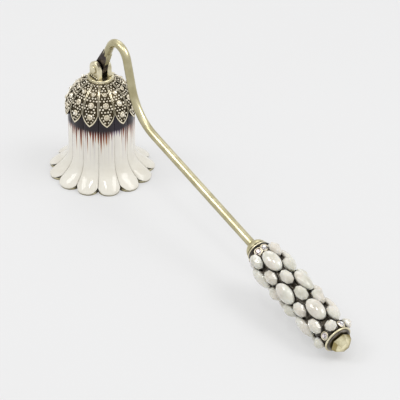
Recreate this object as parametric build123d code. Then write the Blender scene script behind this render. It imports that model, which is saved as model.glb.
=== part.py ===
from build123d import *
import os
from math import cos, radians, sin, sqrt, tan

# Candle snuffer with an enamelled flower bell and a jewelled handle hinged on top of it. The bell stands
# on its mouth and the far end of the handle lies on the same surface. Millimetres, +Z up, origin at the
# middle of the mouth on that surface, +X towards the grip.

# Bell
petal_count = 13
mouth_radius = 21.0          # tip of a lobe on the mouth
notch_share = 0.8286         # notch between two lobes, as a share of the mouth
tube_radius = 13.1           # middle of a petal on the straight tube
flute_depth = 0.4            # line between two petals on the tube, below their middle
lip_height = 0.9             # bare metal edge under the enamel
lip_inset = 0.35             # metal edge behind the edge of the enamel
flare_height = 11.0          # lip to where the tube runs straight
flare_power = 2.2            # how suddenly the mouth spreads
flare_steps = (0, 0.9, 2.0, 3.5, 5.5, 8.0, flare_height)
tube_steps = 5
tube_top = 27.7              # tube turns into the dome, also the middle of the dome
enamel_overlap = 4.5         # enamel runs on up under the leaves
enamel_thickness = 0.6
enamel_gap = 0.12            # half of the bare line between two petals
casting_wall = 0.9
crown_thickness = 2.2
dome_step = 0.2              # ledge inside, where the fluted tube meets the round dome
flower_turn = 3.0            # petals and leaves sit this many degrees round from the handle

# Calyx
calyx_clearance = 0.15       # calyx to the enamel
calyx_play = 0.1             # calyx to the dome that it covers
calyx_wall = 0.45            # inside to the ground that the stones stand on
leaf_relief = 0.4            # raised outline of a leaf above that ground
leaf_drop = 0.7              # leaf tips hang this far below the top of the tube
leaf_tip_rise = 6.0          # leaf tip to where two leaves part
leaf_bulge = 0.55            # how far a leaf's edge bows out near the tip
leaf_rim_width = 0.32
leaf_seam = 0.3              # line between two leaves
crown_flat_radius = 5.15     # flat on top of the casting
calyx_crown = 1.0            # thickness of the calyx over that flat
leaf_stone_latitudes = (14.0, 32.5, 50.5)
leaf_stone_radii = (1.05, 1.05, 0.8)
leaf_stone_height = 0.9
grain_radius = 0.36
grain_height = 0.4
grain_rows = (               # latitude, and places as shares of the leaf's half width
    (4.5, (0.0,)),
    (9.0, (-0.52, 0.52)),
    (23.3, (-0.6, 0.0, 0.6)),
    (41.8, (-0.55, 0.0, 0.55)),
    (58.0, (-0.35, 0.35)),
    (63.5, (0.0,)),
)

# Clevis and hinge
collar_radius = 5.2
collar_height = 1.4
collar_round = 0.5
pin_rise = 3.4               # collar to the middle of the pin
pin_radius = 1.0
pin_head_radius = 1.55
pin_head_height = 0.6
pin_head_round = 0.4
ear_radius = 3.1
ear_thickness = 2.0
ear_round = 0.5
tongue_thickness = 2.0
slot_play = 0.2              # tongue to ear, each side
pin_play = 0.05              # pin to tongue, on the radius
seat_play = 0.03             # pressed and screwed pieces, on the radius
stud_radius = 1.5
stud_play = 0.15             # stud in the holes of casting, calyx and washer
stud_end = 0.7               # stud showing below the nut
washer_radius = 3.6
washer_thickness = 0.6
nut_across_flats = 5.5
nut_height = 2.4

# Rod
rod_radius = 1.6
tongue_radius = 2.7          # round end of the tongue about the pin
tongue_length = 9.0          # pin to where the rod is round again
tongue_overlap = 1.5         # flat runs out inside the round rod
tongue_lean = 29.0           # degrees from upright
hook_corner = 28.2           # pin to the corner of the hook, before rounding
hook_bend_radius = 6.0
leg_lean = 17.2              # degrees from upright
heel_bend_radius = 20.0
handle_slope = 13.5          # degrees below level

# Grip, measured along the handle from the front of the ferrule
grip_reach = 96.6            # origin to the front of the ferrule, along X
ferrule_length = 3.2
ferrule_front_radius = 2.1
ferrule_radius = 4.1
ferrule_swell_across = 0.72  # share of the rise in radius reached
ferrule_swell_along = 0.42   # at this share of the length
trim_ring_width = 0.7
front_ring_radius = 4.4
rear_ring_radius = 5.4
trim_ring_round = 0.3
sleeve_radius = 4.9
sleeve_shoulder = 1.1        # front of the sleeve narrows towards its ring over this length
sleeve_bore_radius = 2.9
sleeve_end = 50.0
spigot_length = 3.0
plug_radius = 4.8
plug_length = 0.6
plug_round = 0.4
finial_sides = 6
finial_outline = ((0.0, 3.8), (0.7, 4.1), (2.3, 3.5), (3.4, 2.2), (3.8, 0.9))   # height and radius
rod_depth_in_finial = 0.9

# Stones of the grip
column_count = 8
stones_per_column = 5
first_stone = 9.2            # first stone of the forward columns
stone_pitch = 8.5
forward_ovals = (2,)         # which stones of a forward column are oval
set_back_ovals = (0, 3)
seat_radius = 4.35           # floor of a stone's seat, from the handle's axis
seat_depth = 0.6
seat_wall = 0.25
seat_root_radius = 3.4       # seats start inside the sleeve
stone_play = 0.02
oval_half_length = 4.7
oval_half_width = 2.75
oval_foot = 0.78             # share of the full size on the floor of the seat
oval_rise = 1.1              # floor of the seat to the full size
oval_girdle = 0.4
oval_dome = 1.85
pointed_sides = 8
pointed_outline = ((0.0, 1.7), (1.1, 2.2), (1.5, 2.2), (2.3, 1.85), (3.35, 0.75))   # height, radius
pointed_stretch = 1.5        # length over width of a pointed stone
crystal_sides = 8
crystal_outline = ((0.0, 0.85), (0.5, 1.15), (0.8, 1.15), (1.4, 0.6))
crystal_half_angle = 14.5    # each side of its column at the front, where they sit in pairs
front_crystal_place = 6.6
rear_crystal_place = 48.2

# Derived sizes
petal_half_angle = 180 / petal_count
notch_radius = mouth_radius * notch_share
tube_groove_radius = tube_radius - flute_depth
enamel_top = tube_top + enamel_overlap
calyx_inner_radius = tube_radius + calyx_clearance
calyx_floor_radius = calyx_inner_radius + calyx_wall
calyx_rim_radius = calyx_floor_radius + leaf_relief
leaf_tip_height = tube_top - leaf_drop
leaf_shoulder_height = leaf_tip_height + leaf_tip_rise
crown_seat_radius = calyx_inner_radius - calyx_play
crown_seat_height = tube_top + sqrt(crown_seat_radius ** 2 - crown_flat_radius ** 2)
calyx_top_height = crown_seat_height + calyx_crown
cavity_depth = enamel_thickness + casting_wall
cavity_top = crown_seat_height - crown_thickness
collar_top = calyx_top_height + collar_height
pin_height = collar_top + pin_rise
washer_foot = cavity_top - washer_thickness
nut_foot = washer_foot - nut_height
slot_half_width = tongue_thickness / 2 + slot_play
ear_outside = slot_half_width + ear_thickness
rod_bore_radius = rod_radius + seat_play
spigot_radius = sleeve_bore_radius - seat_play
sleeve_start = ferrule_length + trim_ring_width
ring_end = sleeve_end + trim_ring_width
plug_end = ring_end + plug_length
column_step = 360 / column_count
pointed_height, pointed_table_radius = pointed_outline[-1]
pointed_half_length = pointed_stretch * max(radius for _, radius in pointed_outline)

upward = (Align.CENTER, Align.CENTER, Align.MIN)


def polar(radius, angle, height):
    """Point at a radius and an angle in degrees round the Z axis."""
    return (radius * cos(radians(angle)), radius * sin(radians(angle)), height)


def turned(shape, count, start=0.0):
    """Copies of a shape set evenly round the Z axis."""
    return [Rot(0, 0, start + 360 / count * index) * shape for index in range(count)]


def group(shapes):
    """One piece that holds the shapes as separate solids."""
    return Compound([solid for shape in shapes for solid in shape.solids()])


def post(radius, bottom, top):
    """Upright cylinder on the Z axis."""
    return Pos(0, 0, bottom) * Cylinder(radius, top - bottom, align=upward)


def cross_pin(radius, half_length):
    """Cylinder along Y on the hinge's axis."""
    return Pos(0, 0, pin_height) * Rot(90, 0, 0) * Cylinder(radius, 2 * half_length)


def cut_stone(sides, outline, stretch=1.0):
    """Faceted stone on the XY plane, stretched along X."""
    faces = []
    for height, radius in outline:
        corners = [polar(radius, 360 / sides * index, 0) for index in range(sides)]
        face = Polygon(*[(stretch * x, y) for x, y, _ in corners], align=None)
        faces.append(Pos(0, 0, height) * face)
    return loft(faces, ruled=True)


# Bell casting and its enamel
def flare(height):
    """Share of the mouth's spread left at a height: 1 at the lip, 0 on the straight tube."""
    rise = min(max((height - lip_height) / flare_height, 0), 1)
    return (1 - rise) ** flare_power


def bell_radius(height, depth, rim, straight):
    """Radius of the bell at a height, a depth below the outside of the enamel."""
    sideways_depth = depth * (1 + flare(height) / 2)
    if height <= tube_top:
        return straight + (rim - straight) * flare(height) - sideways_depth
    return sqrt((straight - sideways_depth) ** 2 - (height - tube_top) ** 2)


def crown_radius(height, depth):
    """Radius over the middle of a petal."""
    return bell_radius(height, depth, mouth_radius, tube_radius)


def groove_radius(height, depth):
    """Radius on the line between two petals."""
    return bell_radius(height, depth, notch_radius, tube_groove_radius)


def lobed_face(height, crown, groove):
    """Flower outline: one arc for each petal."""
    arcs = []
    for index in range(petal_count):
        middle = 2 * petal_half_angle * index
        start = polar(groove, middle - petal_half_angle, height)
        end = polar(groove, middle + petal_half_angle, height)
        arcs.append(ThreePointArc(start, polar(crown, middle, height), end))
    return Face(Wire(arcs))


def bell_loft(heights, depth):
    """Lobed solid a depth below the outside of the enamel."""
    return loft([lobed_face(z, crown_radius(z, depth), groove_radius(z, depth)) for z in heights])


def petal_face(height):
    """Outline of one petal on +X, reaching in past the surface that it is laid on."""
    corners = []
    for depth in (0, 2 * enamel_thickness):
        reach, half_width, _ = polar(groove_radius(height, depth), petal_half_angle, height)
        corners.append((reach, half_width - enamel_gap))
    (outer_reach, outer_half), (inner_reach, inner_half) = corners
    outside = ThreePointArc(
        (outer_reach, -outer_half, height),
        (crown_radius(height, 0), 0, height),
        (outer_reach, outer_half, height),
    )
    inside = Polyline(
        (outer_reach, outer_half, height),
        (inner_reach, inner_half, height),
        (inner_reach, -inner_half, height),
        (outer_reach, -outer_half, height),
    )
    return Face(Wire([outside, *inside.edges()]))


def dome(radius, bottom, top):
    """Solid with upright sides to the tube's top and a sphere above, cut flat at the top."""
    flat_radius = sqrt(radius ** 2 - (top - tube_top) ** 2)
    middle = radius * sqrt(0.5)
    corners = [(flat_radius, top), (0, top), (0, bottom), (radius, bottom)]
    if bottom < tube_top:
        corners.append((radius, tube_top))
    arc = ThreePointArc((radius, tube_top), (middle, tube_top + middle), (flat_radius, top))
    return revolve(Plane.XZ * make_face([*Polyline(*corners).edges(), arc]), Axis.Z)


flare_heights = [lip_height + step for step in flare_steps]
tube_pitch = (tube_top - flare_heights[-1]) / tube_steps
tube_heights = [flare_heights[-1] + tube_pitch * (step + 1) for step in range(tube_steps)]
enamel_heights = [*flare_heights, *tube_heights, (tube_top + enamel_top) / 2, enamel_top]
cavity_heights = [*flare_heights, *tube_heights[:-1], tube_top - dome_step]

enamel_ground = bell_loft(enamel_heights, enamel_thickness)
petal = loft([petal_face(height) for height in enamel_heights]) - enamel_ground

lip = extrude(lobed_face(0, mouth_radius - lip_inset, notch_radius - lip_inset), lip_height)
seat_dome = dome(crown_seat_radius, tube_top, crown_seat_height)
seat_dome -= post(2 * tube_radius, 0, enamel_top)
cavity_tube = bell_loft(cavity_heights, cavity_depth)
mouth_crown = crown_radius(lip_height, cavity_depth)
mouth_groove = groove_radius(lip_height, cavity_depth)
cavity_mouth = extrude(lobed_face(0, mouth_crown, mouth_groove), lip_height)
cavity_dome = dome(tube_groove_radius - cavity_depth - dome_step, tube_heights[0], cavity_top)
stud_hole = post(stud_radius + stud_play, enamel_top, collar_top)
cavity = cavity_tube + cavity_mouth + cavity_dome
bell_casting = enamel_ground + lip + seat_dome
bell_casting -= cavity
bell_casting -= stud_hole


# Calyx cap of pointed leaves
leaf_half_width = calyx_rim_radius * sin(radians(petal_half_angle))


def leaf_column(inset):
    """Upright prism over one leaf on +X, drawn in from the leaf's edge all round."""
    apex = inset / sin(radians(petal_half_angle))
    far = 2 * calyx_rim_radius
    far_half = (far - apex) * tan(radians(petal_half_angle))
    sector = make_face(Polyline((apex, 0), (far, -far_half), (far, far_half), close=True))
    wedge = Pos(0, 0, leaf_tip_height) * extrude(sector, calyx_top_height - leaf_tip_height)
    tip = leaf_tip_height + 2 * inset
    half_width = leaf_half_width - inset / 2
    bow = (half_width / 2 + leaf_bulge, tip + leaf_tip_rise / 2 - leaf_bulge)
    right = ThreePointArc((0, tip), bow, (half_width, tip + leaf_tip_rise))
    left = ThreePointArc((-half_width, tip + leaf_tip_rise), (-bow[0], bow[1]), (0, tip))
    sides = Polyline(
        (half_width, tip + leaf_tip_rise),
        (far, calyx_top_height),
        (-far, calyx_top_height),
        (-half_width, tip + leaf_tip_rise),
    )
    pointed = extrude(Plane.YZ * make_face([right, *sides.edges(), left]), far)
    return wedge & pointed


def leaf_notch():
    """Gap between two leaf tips, on +X."""
    bow = (leaf_half_width / 2 - leaf_bulge, leaf_tip_height + leaf_tip_rise / 2 - leaf_bulge)
    right = ThreePointArc((0, leaf_shoulder_height), bow, (leaf_half_width, leaf_tip_height))
    left = mirror(right, Plane.YZ)
    low = leaf_tip_height - leaf_rim_width
    base = Polyline(
        (leaf_half_width, leaf_tip_height),
        (leaf_half_width, low),
        (-leaf_half_width, low),
        (-leaf_half_width, leaf_tip_height),
    )
    return extrude(Plane.YZ * make_face([right, *base.edges(), left]), 2 * calyx_rim_radius)


leaf_floor = dome(calyx_floor_radius, leaf_tip_height, calyx_top_height - leaf_relief)
collar_ground = post(collar_radius, leaf_tip_height, 2 * collar_top)
leaf_pocket = leaf_column(leaf_rim_width) - leaf_floor - collar_ground
seam_length = 2 * calyx_rim_radius
seam = Box(seam_length, leaf_seam, seam_length, align=(Align.MIN, Align.CENTER, Align.MIN))
seam = Pos(0, 0, leaf_tip_height) * seam - leaf_floor - collar_ground
calyx_cap = dome(calyx_rim_radius, leaf_tip_height, calyx_top_height)
calyx_cap -= [dome(calyx_inner_radius, leaf_tip_height, crown_seat_height), stud_hole]
calyx_cap -= turned(leaf_notch(), petal_count, petal_half_angle)
calyx_cap -= turned(leaf_pocket, petal_count)
calyx_cap -= turned(seam, petal_count, petal_half_angle)


def on_leaf(latitude, share):
    """Place on the ground of the leaf on +X, looking straight out."""
    longitude = share * petal_half_angle
    level = cos(radians(latitude))
    outward = polar(level, longitude, sin(radians(latitude)))
    foot = Vector(*outward) * calyx_floor_radius + Vector(0, 0, tube_top)
    return Plane(origin=foot, z_dir=outward).location


leaf_stones = []
for latitude, radius in zip(leaf_stone_latitudes, leaf_stone_radii):
    outline = ((0.0, radius), (leaf_stone_height / 3, radius), (leaf_stone_height, radius / 2))
    leaf_stones += turned(on_leaf(latitude, 0) * cut_stone(crystal_sides, outline), petal_count)

grain = Cone(grain_radius, grain_radius / 2, grain_height, align=upward)
leaf_grains = []
for latitude, shares in grain_rows:
    for share in shares:
        leaf_grains += turned(on_leaf(latitude, share) * grain, petal_count)


# Clevis, hinge pin, washer and nut
collar = post(collar_radius, calyx_top_height, collar_top)
collar = fillet(collar.edges().filter_by(GeomType.CIRCLE), collar_round)
ear_foot = calyx_top_height + collar_height / 2
ear_outline = Pos(0, pin_height) * Circle(ear_radius)
ear_outline += Pos(0, (ear_foot + pin_height) / 2) * Rectangle(2 * ear_radius, pin_height - ear_foot)
ear = extrude(Plane.XZ * ear_outline, ear_thickness / 2, both=True)
ear = fillet(ear.edges().filter_by(GeomType.CIRCLE), ear_round)
ears = [Pos(0, side * (slot_half_width + ear_thickness / 2), 0) * ear for side in (-1, 1)]
stud = post(stud_radius, nut_foot - stud_end, ear_foot)
clevis = collar + ears + stud - cross_pin(pin_radius + seat_play, 2 * ear_outside)

hinge_pin = cross_pin(pin_radius, ear_outside)
head = Cylinder(pin_head_radius, pin_head_height, align=upward)
head = fillet(head.edges().group_by(Axis.Z)[-1], pin_head_round)
for side in (-1, 1):
    hinge_pin += Pos(0, side * ear_outside, pin_height) * Rot(-90 * side, 0, 0) * head

washer = post(washer_radius, washer_foot, cavity_top) - stud_hole
nut_outline = RegularPolygon(nut_across_flats / 2, 6, major_radius=False)
nut = Pos(0, 0, nut_foot) * extrude(nut_outline, nut_height)
nut -= post(stud_radius + seat_play, 0, cavity_top)


# Rod: the handle's line is set by the last stones, which rest on the surface
slope = radians(handle_slope)
lowest_lean = radians(column_step / 2)
rear_stone_place = first_stone + stone_pitch * (stones_per_column - 0.5)
tip_drop = (seat_radius + pointed_height) * cos(lowest_lean) * cos(slope)
table_drop = pointed_table_radius * sqrt(sin(slope) ** 2 + (sin(lowest_lean) * cos(slope)) ** 2)
grip_height = tip_drop + table_drop + rear_stone_place * sin(slope)
grip_frame = Plane(
    origin=(grip_reach, 0, grip_height),
    x_dir=(sin(slope), 0, cos(slope)),
    z_dir=(cos(slope), 0, -sin(slope)),
).location

tongue_way = Vector(sin(radians(tongue_lean)), 0, cos(radians(tongue_lean)))
leg_way = Vector(sin(radians(leg_lean)), 0, -cos(radians(leg_lean)))
pin_middle = Vector(0, 0, pin_height)
hook = pin_middle + tongue_way * hook_corner
height_over_handle = hook.Z - grip_height - (grip_reach - hook.X) * tan(slope)
leg_length = height_over_handle / (-leg_way.Z - leg_way.X * tan(slope))
heel = hook + leg_way * leg_length
rod_start = pin_middle + tongue_way * tongue_length
rod_end = (grip_frame * Pos(0, 0, plug_end + rod_depth_in_finial)).position
rod_path = FilletPolyline(rod_start, hook, heel, rod_end, radius=[hook_bend_radius, heel_bend_radius])
rod = sweep(Plane(origin=rod_start, z_dir=tongue_way) * Circle(rod_radius), rod_path)

flat_length = tongue_length + tongue_overlap
tongue_sides = Polyline(
    (0, -tongue_radius),
    (flat_length, -rod_radius),
    (flat_length, rod_radius),
    (0, tongue_radius),
    close=True,
)
tongue_outline = make_face(tongue_sides) + Circle(tongue_radius)
tongue_outline = Pos(0, pin_height) * Rot(0, 0, 90 - tongue_lean) * tongue_outline
rod += extrude(Plane.XZ * tongue_outline, tongue_thickness / 2, both=True)
rod -= cross_pin(pin_radius + pin_play, ear_outside)


# Grip fittings, along Z from the front of the ferrule
def collar_ring(radius, start):
    """Round-edged trim ring on a spigot."""
    ring = post(radius, start, start + trim_ring_width)
    ring = fillet(ring.edges().filter_by(GeomType.CIRCLE), trim_ring_round)
    return ring - post(sleeve_bore_radius, 0, plug_end)


rod_bore = post(rod_bore_radius, -ferrule_length, plug_end + rod_depth_in_finial)
ferrule_front = (ferrule_front_radius, 0)
ferrule_rear = (ferrule_radius, ferrule_length)
swell_radius = ferrule_front_radius + ferrule_swell_across * (ferrule_radius - ferrule_front_radius)
ferrule_swell = (swell_radius, ferrule_swell_along * ferrule_length)
ferrule_arc = ThreePointArc(ferrule_front, ferrule_swell, ferrule_rear)
ferrule_back = Polyline(ferrule_rear, (0, ferrule_length), (0, 0), ferrule_front)
front_ferrule = revolve(Plane.XZ * make_face([ferrule_arc, *ferrule_back.edges()]), Axis.Z)
front_ferrule += post(spigot_radius, ferrule_length, sleeve_start + spigot_length)
front_ferrule -= rod_bore

rear_plug = post(plug_radius, ring_end, plug_end)
rear_plug = fillet(rear_plug.edges().group_by(Axis.Z)[-1], plug_round)
rear_plug += post(spigot_radius, sleeve_end - spigot_length, ring_end)
rear_plug -= rod_bore

end_finial = Pos(0, 0, plug_end) * cut_stone(finial_sides, finial_outline) - rod_bore


# Stones of the grip and the seats on its sleeve
def seat_frame(place, angle):
    """Frame at a place along the grip, with Z outwards at an angle and X along the grip."""
    return Plane(origin=(0, 0, place), x_dir=(0, 0, 1), z_dir=polar(1, angle, 0)).location


def column_stones(column):
    """Place along the grip of every stone in a column, and whether it is oval."""
    forward = column % 2 == 1
    ovals = forward_ovals if forward else set_back_ovals
    start = first_stone if forward else first_stone + stone_pitch / 2
    return [(start + stone_pitch * index, index in ovals) for index in range(stones_per_column)]


def seat(outline):
    """Raised seat from inside the sleeve to its brim."""
    return Pos(0, 0, seat_root_radius) * extrude(outline, seat_radius + seat_depth - seat_root_radius)


def seat_pocket(outline):
    """Hollow of a seat, open outwards."""
    return Pos(0, 0, seat_radius) * extrude(outline, 2 * seat_depth)


def brim_radius(outline):
    """Radius of a faceted stone at the brim of its seat."""
    (_, foot), (rise, full) = outline[:2]
    return foot + (full - foot) * seat_depth / rise


def stone_stretch(place):
    """Length over width of a pointed stone: round where a long one would reach the rear ring."""
    return pointed_stretch if place + pointed_half_length <= sleeve_end else 1.0


def oval(share, extra=0.0):
    """Outline of an oval stone at a share of its full size."""
    return Ellipse(oval_half_length * share + extra, oval_half_width * share + extra)


oval_brim = oval_foot + (1 - oval_foot) * seat_depth / oval_rise
oval_middle = oval_rise + oval_girdle
upper_half = Box(4 * oval_half_length, 4 * oval_half_length, 2 * oval_dome, align=upward)
oval_top = scale(Sphere(1), by=(oval_half_length, oval_half_width, oval_dome)) & upper_half
oval_stone = loft([oval(oval_foot), Pos(0, 0, oval_rise) * oval(1)], ruled=True)
oval_stone += Pos(0, 0, oval_rise) * extrude(oval(1), oval_girdle)
oval_stone += Pos(0, 0, oval_middle) * oval_top
crystal = cut_stone(crystal_sides, crystal_outline)
pointed_brim = brim_radius(pointed_outline)
crystal_brim = brim_radius(crystal_outline)

oval_opals = []
pointed_opals = []
front_crystals = []
rear_crystals = []
seats = []
pockets = []
for column in range(column_count):
    angle = column_step * (column + 0.5)
    for place, is_oval in column_stones(column):
        frame = seat_frame(place, angle)
        stone_frame = frame * Pos(0, 0, seat_radius)
        if is_oval:
            oval_opals.append(stone_frame * oval_stone)
            seats.append(frame * seat(oval(oval_brim, seat_wall)))
            pockets.append(frame * seat_pocket(oval(oval_brim, stone_play)))
        else:
            stretch = stone_stretch(place)
            brim_length = pointed_brim * stretch
            pointed_opals.append(stone_frame * cut_stone(pointed_sides, pointed_outline, stretch))
            seats.append(frame * seat(Ellipse(brim_length + seat_wall, pointed_brim + seat_wall)))
            pockets.append(frame * seat_pocket(Ellipse(brim_length + stone_play, pointed_brim + stone_play)))
    forward = column % 2 == 1
    crystals = rear_crystals if forward else front_crystals
    crystal_place = rear_crystal_place if forward else front_crystal_place
    crystal_turns = (0,) if forward else (-crystal_half_angle, crystal_half_angle)
    for turn in crystal_turns:
        frame = seat_frame(crystal_place, angle + turn)
        crystals.append(frame * Pos(0, 0, seat_radius) * crystal)
        seats.append(frame * seat(Circle(crystal_brim + seat_wall)))
        pockets.append(frame * seat_pocket(Circle(crystal_brim + stone_play)))

shoulder_end = sleeve_start + sleeve_shoulder
shoulder = Cone(front_ring_radius, sleeve_radius, sleeve_shoulder, align=upward)
grip_sleeve = post(sleeve_radius, shoulder_end, sleeve_end) + Pos(0, 0, sleeve_start) * shoulder + seats
grip_sleeve -= pockets
grip_sleeve -= post(sleeve_bore_radius, 0, plug_end)


# Pieces by name
pieces = {
    "clevis": clevis,
    "hinge_pin": hinge_pin,
    "stud_washer": washer,
    "stud_nut": nut,
    "rod": rod,
}
flower_pieces = {
    "bell_casting": bell_casting,
    "calyx_cap": calyx_cap,
    "calyx_stones": group(leaf_stones),
    "calyx_grains": group(leaf_grains),
}
for number, enamel in enumerate(turned(petal, petal_count), start=1):
    flower_pieces[f"petal_enamel_{number:02d}"] = enamel
grip_pieces = {
    "front_ferrule": front_ferrule,
    "front_trim_ring": collar_ring(front_ring_radius, ferrule_length),
    "grip_sleeve": grip_sleeve,
    "oval_opals": group(oval_opals),
    "pointed_opals": group(pointed_opals),
    "front_crystals": group(front_crystals),
    "rear_crystals": group(rear_crystals),
    "rear_trim_ring": collar_ring(rear_ring_radius, sleeve_end),
    "rear_plug": rear_plug,
    "end_finial": end_finial,
}
for name, piece in flower_pieces.items():
    pieces[name] = Rot(0, 0, flower_turn) * piece
for name, piece in grip_pieces.items():
    pieces[name] = grip_frame * piece

os.makedirs("parts", exist_ok=True)
for name, piece in pieces.items():
    export_step(piece, f"parts/{name}.step")
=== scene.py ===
import random
from math import asin, cos, hypot, pi, radians, sin, sqrt

import bpy
from mathutils import Matrix, Vector


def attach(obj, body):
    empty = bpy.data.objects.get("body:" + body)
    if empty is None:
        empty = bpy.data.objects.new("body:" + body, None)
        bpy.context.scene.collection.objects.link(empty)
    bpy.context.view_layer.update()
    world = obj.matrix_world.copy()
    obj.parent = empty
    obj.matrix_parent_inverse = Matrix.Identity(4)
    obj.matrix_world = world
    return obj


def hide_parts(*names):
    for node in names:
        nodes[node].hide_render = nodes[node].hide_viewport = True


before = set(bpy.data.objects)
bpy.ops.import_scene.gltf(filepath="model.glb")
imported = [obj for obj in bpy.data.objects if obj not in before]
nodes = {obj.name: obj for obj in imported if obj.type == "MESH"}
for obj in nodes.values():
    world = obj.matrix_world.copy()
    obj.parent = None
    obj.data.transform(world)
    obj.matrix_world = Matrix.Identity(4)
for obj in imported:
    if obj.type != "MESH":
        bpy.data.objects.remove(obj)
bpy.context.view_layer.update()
scene = bpy.context.scene

# One millimetre in the scene's metres
MM = 0.001

# Bell, in millimetres
petal_count = 13
half_angle = pi / petal_count
flower_turn = radians(3.0)
mouth_radius = 20.92
tube_radius = 13.1
tube_flute = 0.25
mouth_flute = 0.75
lip_height = 0.9
flare_height = 11.0
flare_power = 2.5
tube_top = 27.7

# Enamel petals, in millimetres
enamel_top = 32.0
enamel_gap = 0.02
petal_thickness = 0.5
mouth_thickening = 0.5
edge_height = 0.42
edge_lift = 1.7
edge_lift_power = 2.4
edge_roll_start = 0.8
tube_roll_depth = 0.05
mouth_roll_depth = 0.12
lobe_puff = 0.8
lobe_puff_start = 0.5
lobe_puff_height = 4.5
lobe_puff_power = 0.8
petal_unevenness = (0.72, 1.22)
petal_seed = 17
petal_columns = 23
# Round of the lower edge, from the inside out: rise above the edge and depth below the face
petal_lower_edge = ((0.5, 0.74), (0.17, 0.62), (0.0, 0.38), (0.12, 0.13), (0.45, 0.0))
# Rises of the rows of points on the face, closer where the petal flares
flare_rises = (0.7, 1.05, 1.5, 2.1, 2.8, 3.6, 4.6, 5.8, 7.2, 9.0, 11.2)
tube_rises = (14.0, 17.5, 21.0, 24.0, 27.0, 29.0)

# Streaks in the enamel, with their lengths and places in millimetres
streak_count = 78
streak_wander = 1.2
streak_lengths = (4.6, 13.5)
streak_length_power = 1.6
streak_length_swing = 1.3
streak_length_least = 0.4
streak_taper = 1.7
band_foot = 24.2
band_wave = 1.2
# Heights between which the ivory is lightened as painted light, and between which grey lines veil it
painted_light_heights = (5.0, 14.0)
veil_heights = (6.0, 20.0)

# Calyx, in millimetres and degrees
calyx_floor_radius = 13.7
# Heights over the floor of the leaves where its dark colour ends and where it is full
calyx_ground_fade = (0.38, 0.2)
leaf_rim_width = 0.32
leaf_stone_latitudes = (14.0, 32.5, 50.5)
leaf_stone_radii = (1.05, 1.05, 0.8)
leaf_stone_height = 0.9
leaf_bezel_spread = 1.02
leaf_bezel_thickness = 0.12
leaf_bezel_height = 0.2
leaf_low_latitude = 0.5
leaf_shoulder_latitude = 25.7
leaf_top_latitude = 66.5
leaf_roundness = 0.46
grain_pitch = 1.2
grain_row_share = 0.87
grain_margin = 0.22
grain_lift = 0.1
grain_jitter = 0.1
grain_clearance = 1.15
grain_size = (0.3, 0.44)
grain_seed = 7
stone_glint_seed = 3
grain_glint_seed = 5

# Grip, in millimetres
grip_reach = 96.6
grip_slope = radians(13.5)
ferrule_length = 3.2
ferrule_seam = 0.5
sleeve_end = 50.0
column_count = 8
stones_per_column = 5
first_stone = 9.2
stone_pitch = 8.5
seat_radius = 4.35
stone_height = 3.35
stone_table_radius = 0.75
long_stone_reach = 3.3
forward_ovals = (2,)
set_back_ovals = (0, 3)
seat_ring_height = 0.62
seat_ring_thickness = 0.17
oval_ring_half_length = 4.36
oval_ring_half_width = 2.6
long_ring_half_length = 3.09
pointed_ring_radius = 2.1
crystal_radius = 1.25
crystal_height = 1.4
crystal_half_angle = radians(14.5)
front_crystal_place = 6.6
rear_crystal_place = 48.2
crystal_bezel_gap = 0.17
crystal_bezel_thickness = 0.2
crystal_bezel_height = 0.62
crystal_glint_seed = 11

# Clevis and tongue of the rod, in millimetres
pin_height = 45.6
collar_top = 42.2
ear_face = 3.2
foot_beads_a_side = 5
foot_bead_pitch = 1.1
foot_bead_lift = 0.4
foot_bead_radius = 0.5
# Where the dark of the tongue has faded out and where it is full; below the pin the dark is painted
# shade in the clevis slot
tongue_flat_fade = (5.6, 5.0)
tongue_end_fade = (6.5, 6.0)
tongue_rise_fade = (3.4, 2.6)

# Direction of the finial's facets that get painted shade
finial_shaded_side = (-0.59, -0.807, 0.0)

# Cut stones, beads and wires, as numbers of sides and shares of their own sizes
stone_sides = 8
# Rings of a cut stone from foot to table: share of the radius, share of the height, turn in sides
stone_rings = ((0.86, 0.0, 0.0), (1.0, 0.32, 0.0), (0.8, 0.66, 0.5), (0.52, 1.0, 0.0))
bead_sides = 8
bead_levels = 4
bead_opening = 0.6 * pi
facet_glint_drop = 0.12
ring_segments = 24
wire_sides = 6
# Upward share of a direction above which a shape is turned by X instead of Z
steep_share = 0.9

# Line of the grip, set by its lowest stones at the rear, which stand on the floor
slope_cos = cos(grip_slope)
slope_sin = sin(grip_slope)
lowest_lean = pi / column_count
rear_stone = first_stone + stone_pitch * (stones_per_column - 0.5)
tip_drop = (seat_radius + stone_height) * cos(lowest_lean) * slope_cos
table_drop = stone_table_radius * hypot(slope_sin, sin(lowest_lean) * slope_cos)
grip_start = Vector((grip_reach, 0, tip_drop + table_drop + rear_stone * slope_sin))
grip_along = Vector((slope_cos, 0, -slope_sin))
grip_up = Vector((slope_sin, 0, slope_cos))
grip_side = grip_along.cross(grip_up)

# Colours of the gilt metal, and how far its roughness swings
gold_roughness_swing = 0.16
gold_light = (0.79, 0.725, 0.485)
gold_dark = (0.56, 0.505, 0.305)
gold_edge = (0.94, 0.90, 0.75)
gold_recess = (0.06, 0.047, 0.028)
gold_shade = (0.36, 0.325, 0.185)
clevis_light = (0.80, 0.735, 0.53)
clevis_dark = (0.50, 0.45, 0.29)
clevis_edge = (0.92, 0.86, 0.67)
ring_light = (0.94, 0.885, 0.68)
ring_dark = (0.76, 0.69, 0.47)
ring_edge = (1.0, 0.965, 0.83)
finial_light = (0.97, 0.90, 0.62)
finial_dark_and_shade = (0.31, 0.245, 0.085)
finial_crease = (0.20, 0.145, 0.07)
tongue_stops = ((0.3, (0.012, 0.007, 0.006)), (0.55, (0.05, 0.036, 0.034)), (0.8, (0.09, 0.072, 0.068)))

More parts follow.
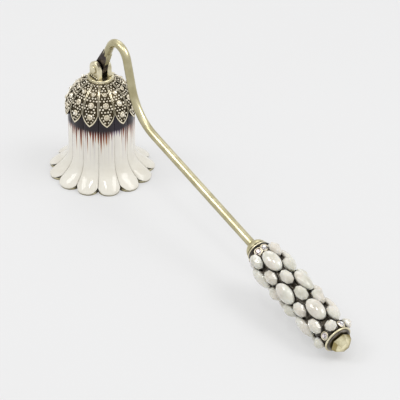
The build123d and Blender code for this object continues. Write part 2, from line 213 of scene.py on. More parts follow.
# Colours of the white and blackened metal
pewter_light = (0.92, 0.845, 0.65)
pewter_dark = (0.68, 0.605, 0.43)
pewter_ground = (0.07, 0.055, 0.032)
pewter_edge = (0.86, 0.80, 0.64)
rubbed_silver = (0.55, 0.51, 0.45)
sleeve_stops = ((0.3, (0.008, 0.006, 0.004)), (0.55, (0.055, 0.047, 0.036)), (0.75, (0.34, 0.31, 0.265)))
seat_stops = ((0.3, (0.025, 0.021, 0.017)), (0.55, (0.17, 0.152, 0.128)), (0.75, (0.50, 0.465, 0.41)))
steel_stops = ((0.3, (0.36, 0.36, 0.36)), (0.7, (0.58, 0.57, 0.55)))

# Colours of the enamel, from the dark band to the ends of its streaks, and of the ivory
rust_stops = (
    (0.0, (0.014, 0.008, 0.012)),
    (0.1, (0.055, 0.012, 0.009)),
    (0.3, (0.20, 0.050, 0.026)),
    (0.6, (0.40, 0.19, 0.10)),
    (1.0, (0.65, 0.48, 0.35)),
)
lilac_stops = (
    (0.0, (0.020, 0.014, 0.024)),
    (0.1, (0.06, 0.045, 0.07)),
    (0.3, (0.24, 0.19, 0.24)),
    (0.6, (0.48, 0.42, 0.45)),
    (1.0, (0.66, 0.60, 0.57)),
)
ivory_stops = ((0.3, (0.73, 0.695, 0.61)), (0.7, (0.79, 0.765, 0.69)))
lit_tube_ivory = (0.88, 0.85, 0.775)
veil_grey = (0.58, 0.54, 0.56)

# Colours of the stones
milk_stops = ((0.3, (0.63, 0.605, 0.54)), (0.5, (0.75, 0.73, 0.675)), (0.7, (0.85, 0.84, 0.805)))
opal_rose = (1.0, 0.972, 0.94)
opal_green = (0.975, 0.985, 0.94)
champagne_stops = (
    (0.0, (0.62, 0.535, 0.38)),
    (0.4, (0.86, 0.775, 0.60)),
    (0.8, (0.96, 0.90, 0.75)),
    (1.0, (1.0, 0.965, 0.86)),
)
clear_stops = (
    (0.0, (0.30, 0.235, 0.22)),
    (0.25, (0.80, 0.71, 0.72)),
    (0.5, (0.97, 0.95, 0.96)),
    (1.0, (1.0, 1.0, 1.0)),
)

# Floor, light and camera, in metres
floor_half_size = 3.0
floor_stops = ((0.2, (0.34, 0.34, 0.342)), (0.8, (0.35, 0.35, 0.352)))
floor_glow = (1.0, 1.0, 1.0, 1.0)
sky_stops = (
    (0.0, (0.74, 0.74, 0.74)),
    (0.25, (0.75, 0.75, 0.75)),
    (0.6, (0.78, 0.78, 0.78)),
    (1.0, (0.80, 0.80, 0.80)),
)
sky_strength = 0.95
light_target = Vector((0.05, 0.0, 0.02))
key_place = Vector((0.4257, 0.3445, 0.75))
fill_place = Vector((-0.26, -0.45, 0.74))
top_place = Vector((0.12, -0.21, 0.76))
back_place = Vector((-0.5149, 0.413, 0.65))
camera_place = Vector((0.5627, -0.3724, 0.4316))
camera_right = Vector((0.5904, 0.8069, 0.0160))
camera_forward = Vector((-0.6677, 0.4995, -0.5519))
camera_lens_mm = 182.75
camera_sensor_mm = 36.0
camera_clip_start = 0.01


# Shader helpers
def connect(tree, target, inputs):
    """Give a node's inputs their links and constants."""
    for key, value in inputs.items():
        if isinstance(value, bpy.types.NodeSocket):
            tree.links.new(value, target.inputs[key])
        else:
            target.inputs[key].default_value = value


def node(tree, kind, inputs=None, **settings):
    """New shader node with its settings and inputs."""
    made = tree.nodes.new("ShaderNode" + kind)
    for key, value in settings.items():
        setattr(made, key, value)
    connect(tree, made, inputs or {})
    return made


def maths(tree, operation, first, second=0.0, third=0.0):
    """Result of a math node."""
    return node(tree, "Math", {0: first, 1: second, 2: third}, operation=operation).outputs[0]


def scaled(tree, value, factor, offset=0.0):
    """Value times a factor, plus an offset."""
    return maths(tree, "MULTIPLY_ADD", value, factor, offset)


def dot(tree, first, second):
    """Dot product of two vectors."""
    made = node(tree, "VectorMath", {0: first, 1: second}, operation="DOT_PRODUCT")
    return made.outputs["Value"]


def smooth_step(tree, value, low, high):
    """0 at low, 1 at high, smooth between; low may be the larger number."""
    made = node(tree, "MapRange", {"Value": value, "From Min": low, "From Max": high},
                interpolation_type="SMOOTHSTEP")
    return made.outputs["Result"]


def ramp(tree, value, stops):
    """Colour ramp from (place, colour) stops."""
    made = node(tree, "ValToRGB", {"Fac": value})
    elements = made.color_ramp.elements
    while len(elements) < len(stops):
        elements.new(0.5)
    for element, (place, colour) in zip(elements, stops):
        element.position = place
        element.color = (*colour, 1.0)
    return made.outputs["Color"]


def opaque(colour):
    """Plain colour with full alpha; a socket stays as it is."""
    return (*colour, 1.0) if isinstance(colour, tuple) else colour


def mix(tree, share, first, second, blend="MIX"):
    """First colour, blended with the second by a share."""
    made = node(tree, "Mix", {0: share, 6: opaque(first), 7: opaque(second)},
                data_type="RGBA", blend_type=blend)
    return made.outputs[2]


def noise(tree, vector, scale, detail):
    """Noise with its scale in cells a metre."""
    inputs = {"Vector": vector, "Scale": scale, "Detail": detail, "Roughness": 0.55}
    made = node(tree, "TexNoise", inputs)
    return made.outputs["Fac"]


def ring_noise(tree, angle, scale, detail):
    """Noise that changes round the bell alone, with its scale in cells a radian."""
    made = node(tree, "TexNoise", {"W": angle, "Scale": scale, "Detail": detail}, noise_dimensions="1D")
    return made.outputs["Fac"]


def edge_mask(tree, radius_mm):
    """1 on sharp outer and inner edges, 0 on flat ground."""
    soft = node(tree, "Bevel", {"Radius": radius_mm * MM}, samples=6).outputs["Normal"]
    true = node(tree, "NewGeometry").outputs["Normal"]
    return smooth_step(tree, dot(tree, soft, true), low=0.995, high=0.85)


def recess_mask(tree, distance_mm):
    """1 deep in hollows, 0 on open ground."""
    occlusion = node(tree, "AmbientOcclusion", {"Distance": distance_mm * MM}, samples=8)
    return smooth_step(tree, occlusion.outputs["AO"], low=0.85, high=0.35)


def begin(name):
    """New material with its tree, shader and object coordinates."""
    made = bpy.data.materials.new(name)
    made.use_nodes = True
    tree = made.node_tree
    shader = tree.nodes["Principled BSDF"]
    place = node(tree, "TexCoord").outputs["Object"]
    return made, tree, shader, place


def bump(tree, shader, height, strength, depth_mm):
    """Relief on the shader's normal."""
    relief = node(tree, "Bump", {"Height": height, "Strength": strength, "Distance": depth_mm * MM})
    connect(tree, shader, {"Normal": relief.outputs["Normal"]})


# Gilt metal
def antique_gold(name, light, dark, edge, roughness=0.3, relief_scale=1500.0, relief_strength=0.12,
                 relief_depth_mm=0.05, overlay=None):
    """Satin plate: olive in patches, darker and rougher in hollows as painted shade and grime, bright on
    edges, and what an overlay adds.
    """
    made, tree, shader, place = begin(name)
    cloud = noise(tree, place, scale=160.0, detail=4.0)
    body = mix(tree, smooth_step(tree, cloud, low=0.36, high=0.66), light, dark)
    # painted shade: hollows found by ambient occlusion are darkened, and also made rougher as grime
    dirt_and_shade = scaled(tree, recess_mask(tree, distance_mm=1.6), factor=0.9)
    hollow_shaded_colour = mix(tree, dirt_and_shade, body, gold_recess)
    rubbed = scaled(tree, edge_mask(tree, radius_mm=0.14), factor=0.6)
    colour = mix(tree, rubbed, hollow_shaded_colour, edge)
    if overlay:
        colour = overlay(tree, place, colour)
    clean_roughness = scaled(tree, cloud, gold_roughness_swing, roughness - gold_roughness_swing / 2)
    full_roughness = scaled(tree, dirt_and_shade, factor=0.2, offset=clean_roughness)
    connect(tree, shader, {"Base Color": colour, "Metallic": 1.0, "Roughness": full_roughness})
    bump(tree, shader, noise(tree, place, relief_scale, detail=2.0), relief_strength, relief_depth_mm)
    return made


def finial_facets(tree, place, colour):
    """Overlay of the finial: painted shade darkening the facets that face one side, and brown creases
    between the facets.
    """
    facet = dot(tree, node(tree, "TexCoord").outputs["Normal"], finial_shaded_side)
    # painted shade: facets turned towards one side are darkened to olive brown
    olive = scaled(tree, smooth_step(tree, facet, low=0.1, high=0.5), factor=0.85)
    crease = scaled(tree, edge_mask(tree, radius_mm=0.42), factor=0.75)
    return mix(tree, crease, mix(tree, olive, colour, finial_dark_and_shade), finial_crease)


def ferrule_soot(tree, place, colour):
    """Overlay of the ferrule: a sooty seam where it meets the trim ring."""
    from_front = node(tree, "VectorMath", {0: place, 1: grip_start * MM}, operation="SUBTRACT")
    along = dot(tree, from_front.outputs["Vector"], grip_along)
    seam_start = (ferrule_length - ferrule_seam) * MM
    seam_full = (ferrule_length - ferrule_seam / 2) * MM
    return mix(tree, smooth_step(tree, along, seam_start, seam_full), colour, gold_recess)


def fade(tree, value, limits_mm):
    """0 at the first limit, 1 at the second, both in millimetres."""
    return smooth_step(tree, value, limits_mm[0] * MM, limits_mm[1] * MM)


def rod_shade_and_tongue(tree, place, colour):
    """Overlay of the rod: painted shade darkening its sides and underside, with a dark brown tongue
    whose lower end is painted shade in the clevis slot.
    """
    axes = node(tree, "SeparateXYZ", {0: place})
    normal = node(tree, "SeparateXYZ", {0: node(tree, "TexCoord").outputs["Normal"]})
    sideways = maths(tree, "ABSOLUTE", normal.outputs["Y"])
    flat = smooth_step(tree, sideways, low=0.93, high=0.985)
    tongue_flats = maths(tree, "MULTIPLY", flat, fade(tree, axes.outputs["X"], tongue_flat_fade))
    over_pin = maths(tree, "SUBTRACT", axes.outputs["Z"], pin_height * MM)
    low_part = fade(tree, over_pin, tongue_rise_fade)
    # painted shade: the lower end of the tongue, inside the clevis slot, is darkened
    tongue_end_shade = maths(tree, "MULTIPLY", low_part, fade(tree, axes.outputs["X"], tongue_end_fade))
    tongue = maths(tree, "MAXIMUM", tongue_flats, tongue_end_shade)
    # painted shade: the rod darkens as its surface turns from facing up to the sides and down
    underside = smooth_step(tree, normal.outputs["Z"], low=0.78, high=-0.1)
    shaded = mix(tree, scaled(tree, underside, factor=0.75), colour, gold_shade)
    brown = ramp(tree, noise(tree, place, scale=420.0, detail=3.0), tongue_stops)
    return mix(tree, tongue, shaded, brown)


# White, blackened and plain metal
def pewter():
    """Antiqued white metal of the leaves: pale on the outlines, nearly black in the ground."""
    made, tree, shader, place = begin("antique_pewter")
    cloud = noise(tree, place, scale=300.0, detail=4.0)
    body = mix(tree, smooth_step(tree, cloud, low=0.35, high=0.7), pewter_light, pewter_dark)
    dome_centre = (0.0, 0.0, tube_top * MM)
    reach = node(tree, "VectorMath", {0: place, 1: dome_centre}, operation="DISTANCE").outputs["Value"]
    ground_limits = [calyx_floor_radius + lift for lift in calyx_ground_fade]
    ground = mix(tree, fade(tree, reach, ground_limits), body, pewter_ground)
    rubbed = scaled(tree, edge_mask(tree, radius_mm=0.12), factor=0.35)
    roughness = scaled(tree, cloud, factor=0.25, offset=0.18)
    colour = mix(tree, rubbed, ground, pewter_edge)
    connect(tree, shader, {"Base Color": colour, "Metallic": 1.0, "Roughness": roughness})
    bump(tree, shader, noise(tree, place, scale=1800.0, detail=2.0), strength=0.3, depth_mm=0.06)
    return made


def blackened(name, stops):
    """Blackened metal of the sleeve and its seats, with painted shade in its hollows, rubbed to grey
    silver on the brims.
    """
    made, tree, shader, place = begin(name)
    cloud = noise(tree, place, scale=380.0, detail=4.0)
    deepest = stops[0][1]
    # painted shade: hollows found by ambient occlusion are darkened to the deepest colour
    hollow_shaded_colour = mix(tree, recess_mask(tree, distance_mm=1.2), ramp(tree, cloud, stops), deepest)
    rubbed = scaled(tree, edge_mask(tree, radius_mm=0.2), factor=0.8)
    roughness = scaled(tree, cloud, factor=0.3, offset=0.2)
    colour = mix(tree, rubbed, hollow_shaded_colour, rubbed_silver)
    connect(tree, shader, {"Base Color": colour, "Metallic": 1.0, "Roughness": roughness})
    bump(tree, shader, noise(tree, place, scale=1200.0, detail=2.0), strength=0.35, depth_mm=0.08)
    return made


def plain_steel():
    """Cloudy grey steel of the washer and the nut."""
    made, tree, shader, place = begin("plain_steel")
    cloud = noise(tree, place, scale=500.0, detail=3.0)
    roughness = scaled(tree, cloud, factor=0.2, offset=0.25)
    colour = ramp(tree, cloud, steel_stops)
    connect(tree, shader, {"Base Color": colour, "Metallic": 1.0, "Roughness": roughness})
    bump(tree, shader, noise(tree, place, scale=1500.0, detail=2.0), strength=0.2, depth_mm=0.05)
    return made


# Enamel
def streaks(tree, angle, height):
    """Mask and colour of the dark band and of the pointed streaks that bleed down from it."""
    broad = ring_noise(tree, angle, scale=2.3, detail=1.0)
    wander = scaled(tree, ring_noise(tree, angle, scale=9.0, detail=2.0), streak_wander)
    line = scaled(tree, angle, streak_count / (2 * pi), wander)
    draw = node(tree, "TexWhiteNoise", {"W": maths(tree, "FLOOR", line)}, noise_dimensions="1D")
    chance = maths(tree, "POWER", draw.outputs["Value"], streak_length_power)
    aside = maths(tree, "ABSOLUTE", maths(tree, "SUBTRACT", maths(tree, "FRACT", line), 0.5))
    shortest, longest = streak_lengths
    even_length = scaled(tree, chance, longest - shortest, shortest)
    swing = scaled(tree, broad, streak_length_swing, streak_length_least)
    length = maths(tree, "MULTIPLY", even_length, swing)
    band_edge = scaled(tree, broad, band_wave, band_foot)
    share = maths(tree, "DIVIDE", maths(tree, "SUBTRACT", band_edge, height), length)
    inside = smooth_step(tree, scaled(tree, aside, streak_taper, share), low=0.98, high=0.78)
    lilac = smooth_step(tree, broad, low=0.48, high=0.36)
    return inside, mix(tree, lilac, ramp(tree, share, rust_stops), ramp(tree, share, lilac_stops))


def ivory(tree, place, angle, height):
    """Cloudy ivory, lightened up the tube as painted light, and veiled there with grey lines."""
    base = ramp(tree, noise(tree, place, scale=190.0, detail=3.0), ivory_stops)
    # painted light: the ivory is lightened up the tube, where the lamps leave it darker
    pale = scaled(tree, smooth_step(tree, height, *painted_light_heights), factor=0.6)
    lines = smooth_step(tree, ring_noise(tree, angle, scale=11.0, detail=2.0), low=0.44, high=0.62)
    veil = maths(tree, "MULTIPLY", lines, smooth_step(tree, height, *veil_heights))
    return mix(tree, scaled(tree, veil, factor=0.45), mix(tree, pale, base, lit_tube_ivory), veil_grey)


def enamel():
    """Glossy ivory enamel, aubergine under the leaves, bleeding down in rust streaks."""
    made, tree, shader, place = begin("ivory_enamel")
    turned = node(tree, "VectorRotate", {"Vector": place, "Angle": -flower_turn}, rotation_type="Z_AXIS")
    axes = node(tree, "SeparateXYZ", {0: turned.outputs["Vector"]})
    angle = maths(tree, "ARCTAN2", axes.outputs["Y"], axes.outputs["X"])
    height = scaled(tree, axes.outputs["Z"], factor=1.0 / MM)
    inside, bleed = streaks(tree, angle, height)
    colour = mix(tree, inside, ivory(tree, place, angle, height), bleed)
    connect(tree, shader, {"Base Color": colour, "Roughness": 0.05, "Specular IOR Level": 0.38})
    bump(tree, shader, noise(tree, place, scale=260.0, detail=2.0), strength=0.12, depth_mm=0.3)
    return made


# Stones
def opal():
    """Milky white opal glass with cloudy depth, rosy in some stones and greenish in others."""
    made, tree, shader, place = begin("white_opal")
    milk = ramp(tree, noise(tree, place, scale=260.0, detail=4.0), milk_stops)
    hue = smooth_step(tree, noise(tree, place, scale=95.0, detail=1.0), low=0.42, high=0.58)
    tint = mix(tree, hue, opal_rose, opal_green)
    connect(tree, shader, {
        "Base Color": mix(tree, 1.0, milk, tint, blend="MULTIPLY"),
        "Roughness": 0.12,
        "IOR": 1.5,
        "Transmission Weight": 0.12,
        "Subsurface Weight": 0.7,
        "Subsurface Radius": (1.0, 0.95, 0.85),
        "Subsurface Scale": 1.2 * MM,
        "Coat Weight": 1.0,
        "Coat Roughness": 0.04,
    })
    bump(tree, shader, noise(tree, place, scale=500.0, detail=2.0), strength=0.1, depth_mm=0.1)
    return made


def cut_glass(name, stops, metallic):
    """Foil-backed cut stone: every facet has its own brightness, a painted glint."""
    made, tree, shader, place = begin(name)
    # painted reflection: a random brightness per facet stands in for the glints of cut glass
    glint = node(tree, "Attribute", attribute_name="facet_glint").outputs["Fac"]
    lowered = maths(tree, "SUBTRACT", glint, facet_glint_drop)
    clouded = scaled(tree, noise(tree, place, scale=900.0, detail=2.0), factor=0.25, offset=lowered)
    connect(tree, shader, {
        "Base Color": ramp(tree, clouded, stops),
        "Metallic": metallic,
        "Roughness": 0.08,
        "Coat Weight": 1.0,
        "Coat Roughness": 0.02,
    })
    return made


gold = antique_gold("antique_gold", gold_light, gold_dark, gold_edge)
ring_gold = antique_gold("ring_gold", ring_light, ring_dark, ring_edge)
ferrule_gold = antique_gold("ferrule_gold", gold_light, gold_dark, gold_edge, overlay=ferrule_soot)
rod_gold = antique_gold("rod_gold", gold_light, gold_dark, gold_edge, overlay=rod_shade_and_tongue)
clevis_gold = antique_gold("clevis_gold", clevis_light, clevis_dark, clevis_edge,
                           relief_scale=620.0, relief_strength=0.5, relief_depth_mm=0.3)
finial_gold = antique_gold("finial_gold", finial_light, finial_dark_and_shade, finial_crease, roughness=0.2,
                           relief_scale=420.0, relief_depth_mm=0.1, overlay=finial_facets)
pewter_metal = pewter()
sleeve_metal = blackened("blackened_metal", sleeve_stops)
seat_metal = blackened("worn_ring_metal", seat_stops)
steel = plain_steel()
ivory_enamel = enamel()
white_opal = opal()
champagne_glass = cut_glass("champagne_crystal", champagne_stops, metallic=0.2)
clear_glass = cut_glass("clear_crystal", clear_stops, metallic=0.3)

# Finish of every piece that is carried over
finishes = {
    "bell_casting": gold,
    "calyx_cap": pewter_metal,
    "clevis": clevis_gold,
    "hinge_pin": clevis_gold,
    "stud_washer": steel,
    "stud_nut": steel,
    "rod": rod_gold,
    "front_ferrule": ferrule_gold,
    "front_trim_ring": ring_gold,
    "rear_trim_ring": ring_gold,
    "grip_sleeve": sleeve_metal,
    "rear_plug": seat_metal,
    "oval_opals": white_opal,
    "pointed_opals": white_opal,
    "end_finial": finial_gold,
}
for node_name, finish in finishes.items():
    slots = nodes[node_name].data.materials
    slots.clear()
    slots.append(finish)


# Mesh helpers
def mesh_object(name, shape, body, material, smooth=True):
    """Mesh piece from points in millimetres and faces, carried by a body."""
    points, faces = shape
    mesh = bpy.data.meshes.new(name)
    mesh.from_pydata([Vector(point) * MM for point in points], [], faces)
    mesh.validate()
    mesh.polygons.foreach_set("use_smooth", [smooth] * len(mesh.polygons))
    mesh.materials.append(material)
    piece = bpy.data.objects.new(name, mesh)
    scene.collection.objects.link(piece)
    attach(piece, body)
    return piece


def gather(shapes):
    """Points and faces of several shapes as one."""
    points = []
    faces = []
    for shape_points, shape_faces in shapes:
        start = len(points)
        points += shape_points
        faces += [[index + start for index in face] for face in shape_faces]
    return points, faces


def placed(shape, out, origin, along=None):
    """Shape moved from the XY plane to an origin, with its Z along out and its X near along."""
    points, faces = shape
    out = Vector(out).normalized()
    if along is None:
        along = Vector((0, 0, 1)) if abs(out.z) < steep_share else Vector((1, 0, 0))
    side = out.cross(along).normalized()
    basis = Matrix((side.cross(out), side, out)).transposed()
    return [basis @ Vector(point) + origin for point in points], faces


def brilliant(radius, height):
    """Cut stone: short skirt, girdle, crown facets and a table."""
    points = []
    for share, level, shift in stone_rings:
        for index in range(stone_sides):
            angle = 2 * pi * (index + shift) / stone_sides
            points.append((radius * share * cos(angle), radius * share * sin(angle), height * level))
    girdle = stone_sides
    crown = 2 * stone_sides
    table = 3 * stone_sides
    faces = [tuple(range(stone_sides))[::-1]]
    for index in range(stone_sides):
        after = (index + 1) % stone_sides
        faces.append((index, after, girdle + after, girdle + index))
        faces.append((girdle + index, girdle + after, crown + index))
        faces.append((crown + index, girdle + after, crown + after))
        faces.append((crown + index, crown + after, table + after))
    for index in range(stone_sides):
        before = (index - 1) % stone_sides
        faces.append((crown + before, crown + index, table + index))
    faces.append(tuple(range(table, table + stone_sides)))
    return points, faces


def bead(radius):
    """Small round grain, flattened where it sits."""
    points = [(0, 0, radius)]
    for level in range(1, bead_levels + 1):
        tilt = bead_opening * level / bead_levels
        reach = radius * sin(tilt)
        for index in range(bead_sides):
            angle = 2 * pi * index / bead_sides
            points.append((reach * cos(angle), reach * sin(angle), radius * cos(tilt)))
    faces = [(0, 1 + index, 1 + (index + 1) % bead_sides) for index in range(bead_sides)]
    for level in range(bead_levels - 1):
        low = 1 + level * bead_sides
        for index in range(bead_sides):
            after = (index + 1) % bead_sides
            faces.append((low + index, low + bead_sides + index, low + bead_sides + after, low + after))
    last = 1 + (bead_levels - 1) * bead_sides
    faces.append(tuple(range(last, last + bead_sides))[::-1])
    return points, faces


def wire_ring(half_length, half_width, thickness, height):
    """Round or oval ring of wire that holds a stone, longer along X."""
    points = []
    for index in range(ring_segments):
        angle = 2 * pi * index / ring_segments
        for step in range(wire_sides):
            turn = 2 * pi * step / wire_sides
            reach = thickness * cos(turn)
            x = (half_length + reach) * cos(angle)
            y = (half_width + reach) * sin(angle)
            points.append((x, y, height + thickness * sin(turn)))
    faces = []
    for index in range(ring_segments):
        here = index * wire_sides
        there = (index + 1) % ring_segments * wire_sides
        for step in range(wire_sides):
            after = (step + 1) % wire_sides
            faces.append((here + step, there + step, there + after, here + after))
    return points, faces


def glint_facets(piece, seed):
    """Give every facet of a stone its own random brightness, which paints its glints."""
    draw = random.Random(seed)
    glints = piece.data.attributes.new("facet_glint", "FLOAT", "FACE")
    for item in glints.data:
        item.value = draw.random()


# Enamel petals
def flare(height):
    """Share of the mouth's spread left at a height."""
    rise = min(max((height - lip_height) / flare_height, 0.0), 1.0)
    return (1.0 - rise) ** flare_power


def bell_radius(height):
    """Radius of the bell over the middle of a petal."""
    if height <= tube_top:
        return tube_radius + (mouth_radius - tube_radius) * flare(height)
    return sqrt(tube_radius ** 2 - (height - tube_top) ** 2)


def petal_point(height, share, depth):
    """Point on the petal over +X: share runs from edge to edge, depth inwards."""
    crown = bell_radius(height)
    groove = crown - tube_flute - (mouth_flute - tube_flute) * flare(height)
    base = groove * cos(half_angle)
    half_width = groove * sin(half_angle) - enamel_gap
    rise = crown - base
    arc_radius = (half_width ** 2 + rise ** 2) / (2 * rise)
    opening = asin(min(half_width / arc_radius, 1.0))
    if rise > half_width:
        opening = pi - opening
    turn = opening * share
    roll = max(0.0, (abs(share) - edge_roll_start) / (1 - edge_roll_start))
    roll_depth = tube_roll_depth + (mouth_roll_depth - tube_roll_depth) * flare(height)
    depth += roll_depth * (1 - sqrt(max(0.0, 1 - roll ** 2)))
    x = base + (arc_radius - depth) * cos(turn) - (arc_radius - rise)
    y = (arc_radius - depth) * sin(turn)
    return x, y, height


def puff(rise, share):
    """Share of its full swell that a lobe has at a rise above its edge."""
    along = min(max((rise - lobe_puff_start) / lobe_puff_height, 0.0), 1.0)
    return sin(pi * along ** lobe_puff_power) * (1 - share ** 2)


def petal_rows(swell, lift):
    """Rows of points on the petal over +X, from the foot up: its outside, then its inside."""
    shares = [-1 + 2 * index / (petal_columns - 1) for index in range(petal_columns)]
    outside = []
    for rise, depth in petal_lower_edge + tuple((rise, 0.0) for rise in flare_rises + tube_rises):
        row = []
        for share in shares:
            foot = edge_height + lift * abs(share) ** edge_lift_power
            stretch = (enamel_top - foot) / (enamel_top - edge_height)
            row.append(petal_point(foot + rise * stretch, share, depth - swell * puff(rise, share)))
        outside.append(row)
    outside.append([petal_point(enamel_top, share, 0.0) for share in shares])
    inside = []
    for row in outside[len(petal_lower_edge) - 1:]:
        inner_row = []
        for share, (_, _, height) in zip(shares, row):
            thickness = petal_thickness * (1 + mouth_thickening * flare(height))
            inner_row.append(petal_point(height, share, thickness))
        inside.append(inner_row)
    return outside, inside


def petal_side(row_count, outside_count, column, order):
    """Faces that close a petal along one of its two long edges."""
    ring = [level * petal_columns + column for level in range(row_count)]
    edge_count = len(petal_lower_edge)
    outer = ring[edge_count - 1:outside_count]
    inner = ring[outside_count:][::-1]
    faces = []
    for level in range(len(outer) - 1):
        quad = [outer[level], outer[level + 1], inner[level + 1], inner[level]]
        faces.append(quad[::order])
    faces.append((ring[:edge_count] + [inner[0]])[::order])
    return faces


def petal_mesh(turn, swell, lift):
    """Closed, round-edged enamel petal that swells at its lobe and lifts its lower corners."""
    outside, inside = petal_rows(swell, lift)
    rows = outside + inside[::-1]
    points = []
    for row in rows:
        for x, y, z in row:
            points.append((x * cos(turn) - y * sin(turn), x * sin(turn) + y * cos(turn), z))
    faces = []
    for level in range(len(rows)):
        here = level * petal_columns
        above = (level + 1) % len(rows) * petal_columns
        for column in range(petal_columns - 1):
            faces.append((here + column, here + column + 1, above + column + 1, above + column))
    faces += petal_side(len(rows), len(outside), column=0, order=1)
    faces += petal_side(len(rows), len(outside), column=petal_columns - 1, order=-1)
    return points, faces


def add_petals():
    """One petal for every lobe, each a little different."""
    draw = random.Random(petal_seed)
    for index in range(petal_count):
        name = f"petal_enamel_{index + 1:02d}"
        swell = lobe_puff * draw.uniform(*petal_unevenness)
        lift = edge_lift * draw.uniform(*petal_unevenness)
        shape = petal_mesh(flower_turn + 2 * half_angle * index, swell, lift)
        petal = mesh_object(name + "_dressed", shape, "bell", ivory_enamel)
        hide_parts(name)


# Calyx stones, their wires and the grains between them
def on_calyx(latitude, longitude, reach):
    """Outward direction and place on the calyx."""
    level = cos(latitude)
    out = Vector((level * cos(longitude), level * sin(longitude), sin(latitude)))
    return out, out * reach + Vector((0, 0, tube_top))


def leaf_half_width(latitude):
    """Free half width of a leaf's ground, as an angle round the bell."""
    full = half_angle - leaf_rim_width / (calyx_floor_radius * cos(latitude))
    low = radians(leaf_low_latitude)
    shoulder = radians(leaf_shoulder_latitude)
    narrowing = min(1.0, (latitude - low) / (shoulder - low))
    return full * narrowing ** leaf_roundness


def leaf_grains(middle, seats, draw):
    """Close rows of grains on one leaf, clear of its rim and its stones."""
    grains = []
    row_pitch = grain_pitch * grain_row_share / calyx_floor_radius
    row_count = int(radians(leaf_top_latitude - leaf_low_latitude) / row_pitch)
    for row in range(1, row_count + 1):
        latitude = radians(leaf_low_latitude) + row * row_pitch
        circle_radius = calyx_floor_radius * cos(latitude)
        pitch = grain_pitch / circle_radius
        room = leaf_half_width(latitude) - grain_margin / circle_radius
        if room <= 0:
            continue
        steps = int(room / pitch) + 1
        for step in range(-steps, steps + 1):
            offset = (step + 0.5 * (row % 2)) * pitch + draw.uniform(-grain_jitter, grain_jitter) * pitch
            radius = draw.uniform(*grain_size)
            out, foot = on_calyx(latitude, middle + offset, calyx_floor_radius + grain_lift)
            clear = all((foot - seat).length > wide + radius * grain_clearance for seat, wide in seats)
            if abs(offset) <= room and clear:
                grains.append(placed(bead(radius), out, foot))
    return grains


def add_calyx_stones():
    """Stones in wires down the middle of every leaf, and grains over the rest of it."""
    stones = []
    wires = []
    grains = []
    draw = random.Random(grain_seed)
    for leaf in range(petal_count):
        middle = flower_turn + 2 * half_angle * leaf
        seats = []
        for latitude, radius in zip(leaf_stone_latitudes, leaf_stone_radii):
            out, foot = on_calyx(radians(latitude), middle, calyx_floor_radius)
            wire_radius = radius * leaf_bezel_spread
            wire = wire_ring(wire_radius, wire_radius, leaf_bezel_thickness, leaf_bezel_height)
            stones.append(placed(brilliant(radius, leaf_stone_height), out, foot))
            wires.append(placed(wire, out, foot))
            seats.append((foot, radius))
        grains += leaf_grains(middle, seats, draw)
    stone_piece = mesh_object("calyx_stones_dressed", gather(stones), "bell",
                              champagne_glass, smooth=False)
    glint_facets(stone_piece, stone_glint_seed)
    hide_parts("calyx_stones")
    mesh_object("calyx_bezels", gather(wires), "bell", pewter_metal)
    grain_piece = mesh_object("calyx_grains_dressed", gather(grains), "bell",
                              champagne_glass)
    glint_facets(grain_piece, grain_glint_seed)
    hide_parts("calyx_grains")


def add_clevis_beads():
    """Row of beads at the foot of each ear of the clevis."""
    beads = []
    half_row = foot_beads_a_side // 2
    for side in (-1, 1):
        for step in range(-half_row, half_row + 1):
            foot = Vector((step * foot_bead_pitch, side * ear_face, collar_top + foot_bead_lift))
            beads.append(placed(bead(foot_bead_radius), (0, side, 0), foot))
    mesh_object("clevis_beads", gather(beads), "bell", clevis_gold)


# Crystals of the grip and the worn edges of its seats
def on_grip(angle, distance):
    """Outward direction and foot of a stone, by its angle round the grip and distance along it."""
    out = grip_up * cos(angle) + grip_side * sin(angle)
    return out, grip_start + grip_along * distance + out * seat_radius


def column_angle(column):
    """Angle of a column of stones round the grip."""
    return 2 * pi / column_count * (column + 0.5)


def is_forward(column):
    """Every second column starts further forward, and has its crystal at the rear."""
    return column % 2 == 1


def add_grip_crystals():
    """Cut crystals in wires: pairs at the front of the grip, single ones at the rear."""
    crystal = brilliant(crystal_radius, crystal_height)
    wire_radius = crystal_radius + crystal_bezel_gap
    wire = wire_ring(wire_radius, wire_radius, crystal_bezel_thickness, crystal_bezel_height)
    crystals = {"front_crystals": [], "rear_crystals": []}
    wires = []
    for column in range(column_count):
        name = "rear_crystals" if is_forward(column) else "front_crystals"
        distance = rear_crystal_place if is_forward(column) else front_crystal_place
        turns = (0.0,) if is_forward(column) else (-crystal_half_angle, crystal_half_angle)
        for turn in turns:
            out, foot = on_grip(column_angle(column) + turn, distance)
            crystals[name].append(placed(crystal, out, foot, grip_along))
            wires.append(placed(wire, out, foot, grip_along))
    for seed, (name, shapes) in enumerate(crystals.items(), start=crystal_glint_seed):
        piece = mesh_object(name + "_dressed", gather(shapes), "handle",
                            clear_glass, smooth=False)
        glint_facets(piece, seed)
        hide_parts(name)
    mesh_object("crystal_bezels", gather(wires), "handle", pewter_metal)


def add_seat_rings():
    """Worn wire edge round the foot of every opal."""
    rings = []
    for column in range(column_count):
        ovals = forward_ovals if is_forward(column) else set_back_ovals
        start = first_stone if is_forward(column) else first_stone + stone_pitch / 2
        for index in range(stones_per_column):
            distance = start + stone_pitch * index
            half_length = pointed_ring_radius
            half_width = pointed_ring_radius
            if index in ovals:
                half_length = oval_ring_half_length
                half_width = oval_ring_half_width
            elif distance + long_stone_reach <= sleeve_end:
                half_length = long_ring_half_length
            ring = wire_ring(half_length, half_width, seat_ring_thickness, seat_ring_height)
            out, foot = on_grip(column_angle(column), distance)
            rings.append(placed(ring, out, foot, grip_along))
    mesh_object("seat_rings", gather(rings), "handle", seat_metal)


add_petals()
add_calyx_stones()
add_clevis_beads()
add_grip_crystals()
add_seat_rings()


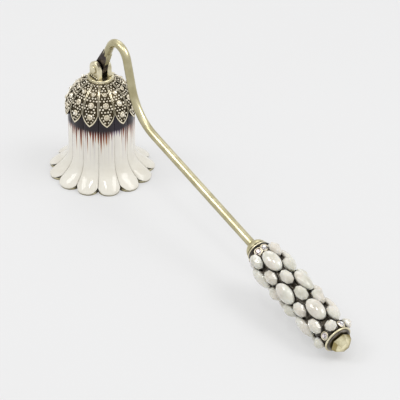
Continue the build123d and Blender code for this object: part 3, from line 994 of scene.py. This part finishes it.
# Floor, light and camera
def floor_material():
    """Pale matt floor with a little light of its own."""
    made, tree, shader, place = begin("pale_floor")
    connect(tree, shader, {
        "Base Color": ramp(tree, noise(tree, place, scale=8.0, detail=2.0), floor_stops),
        "Emission Color": floor_glow,
        "Emission Strength": 0.43,
        "Roughness": 0.9,
        "Specular IOR Level": 0.1,
    })
    return made


def add_floor():
    """Square floor under the object."""
    corners = [(-1, -1, 0), (1, -1, 0), (1, 1, 0), (-1, 1, 0)]
    mesh = bpy.data.meshes.new("floor")
    mesh.from_pydata([Vector(corner) * floor_half_size for corner in corners], [], [(0, 1, 2, 3)])
    mesh.materials.append(floor_material())
    floor = bpy.data.objects.new("floor", mesh)
    scene.collection.objects.link(floor)


def add_softbox(name, place, size, power):
    """Square area light that faces the object."""
    lamp = bpy.data.lights.new(name, "AREA")
    lamp.size = size
    lamp.energy = power
    softbox = bpy.data.objects.new(name, lamp)
    softbox.location = place
    softbox.rotation_euler = (light_target - place).to_track_quat("-Z", "Y").to_euler()
    scene.collection.objects.link(softbox)


def studio_world():
    """White studio, a little brighter overhead than towards the horizon."""
    made = bpy.data.worlds.new("studio")
    made.use_nodes = True
    tree = made.node_tree
    way = node(tree, "SeparateXYZ", {0: node(tree, "TexCoord").outputs["Generated"]})
    sky = ramp(tree, way.outputs["Z"], sky_stops)
    connect(tree, tree.nodes["Background"], {"Color": sky, "Strength": sky_strength})
    return made


def add_camera():
    """Camera at the fitted place, turned by its forward and right directions."""
    lens = bpy.data.cameras.new("camera")
    lens.sensor_width = camera_sensor_mm
    lens.lens = camera_lens_mm
    lens.clip_start = camera_clip_start
    forward = camera_forward.normalized()
    up = camera_right.normalized().cross(forward).normalized()
    right = forward.cross(up).normalized()
    turn = Matrix((right, up, -forward)).transposed().to_4x4()
    camera = bpy.data.objects.new("camera", lens)
    camera.matrix_world = Matrix.Translation(camera_place) @ turn
    scene.collection.objects.link(camera)
    scene.camera = camera


add_floor()
add_softbox("key", key_place, size=0.4, power=2.4)
add_softbox("fill", fill_place, size=0.3, power=1.6)
add_softbox("top", top_place, size=0.13, power=0.6)
add_softbox("back", back_place, size=0.4, power=0.6)
scene.world = studio_world()
add_camera()
scene.view_settings.view_transform = "Standard"
